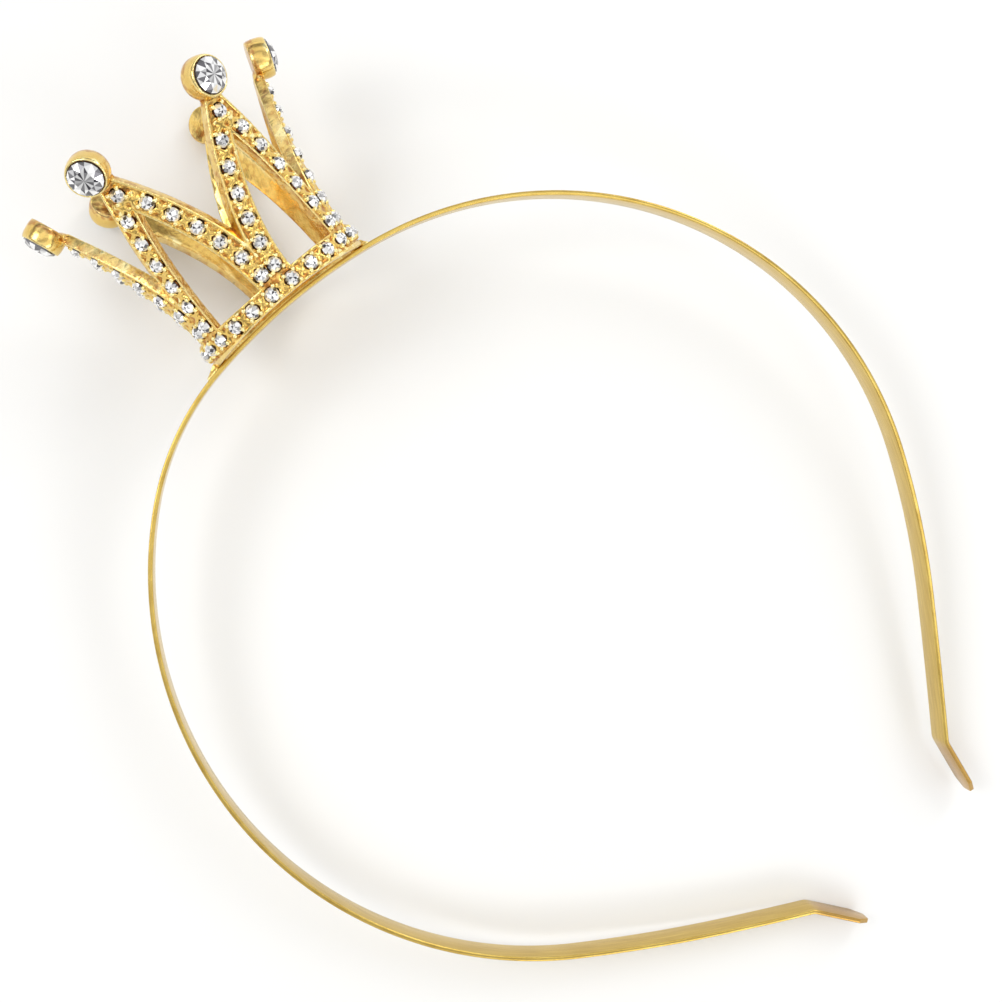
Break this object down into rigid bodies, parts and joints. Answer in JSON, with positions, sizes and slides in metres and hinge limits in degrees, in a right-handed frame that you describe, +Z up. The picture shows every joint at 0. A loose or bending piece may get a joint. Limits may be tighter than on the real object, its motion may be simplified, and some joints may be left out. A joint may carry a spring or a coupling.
{
  "type": "mini crown headband",
  "caption": "Thin gold-coloured headband strip with a small open crown of bowed points set with clear cut stones, fixed off its middle and lying on its side.",
  "frame": {"origin": "centre of the bounding box's bottom face, on the surface that the part lies on", "axes": "+Z up, with the headband lying on its side; +Y from the headband's open end towards the crown's points; +X to the right as seen from above"},
  "size_m": [0.1312, 0.1846, 0.0451],
  "materials": {
    "strip_gold": "polished",
    "cast_gold": "polished",
    "clear_stone": "polished"
  },
  "bodies": {
    "root": {"headband": "strip_gold", "crown": "cast_gold", "tip_stone_1": "clear_stone", "tip_stone_2": "clear_stone", "tip_stone_3": "clear_stone", "tip_stone_4": "clear_stone", "tip_stone_5": "clear_stone", "tip_stone_6": "clear_stone", "point_stones_1": "clear_stone", "point_stones_2": "clear_stone", "point_stones_3": "clear_stone", "point_stones_4": "clear_stone", "point_stones_5": "clear_stone", "point_stones_6": "clear_stone", "base_stones": "clear_stone"}
  },
  "joints": []
}
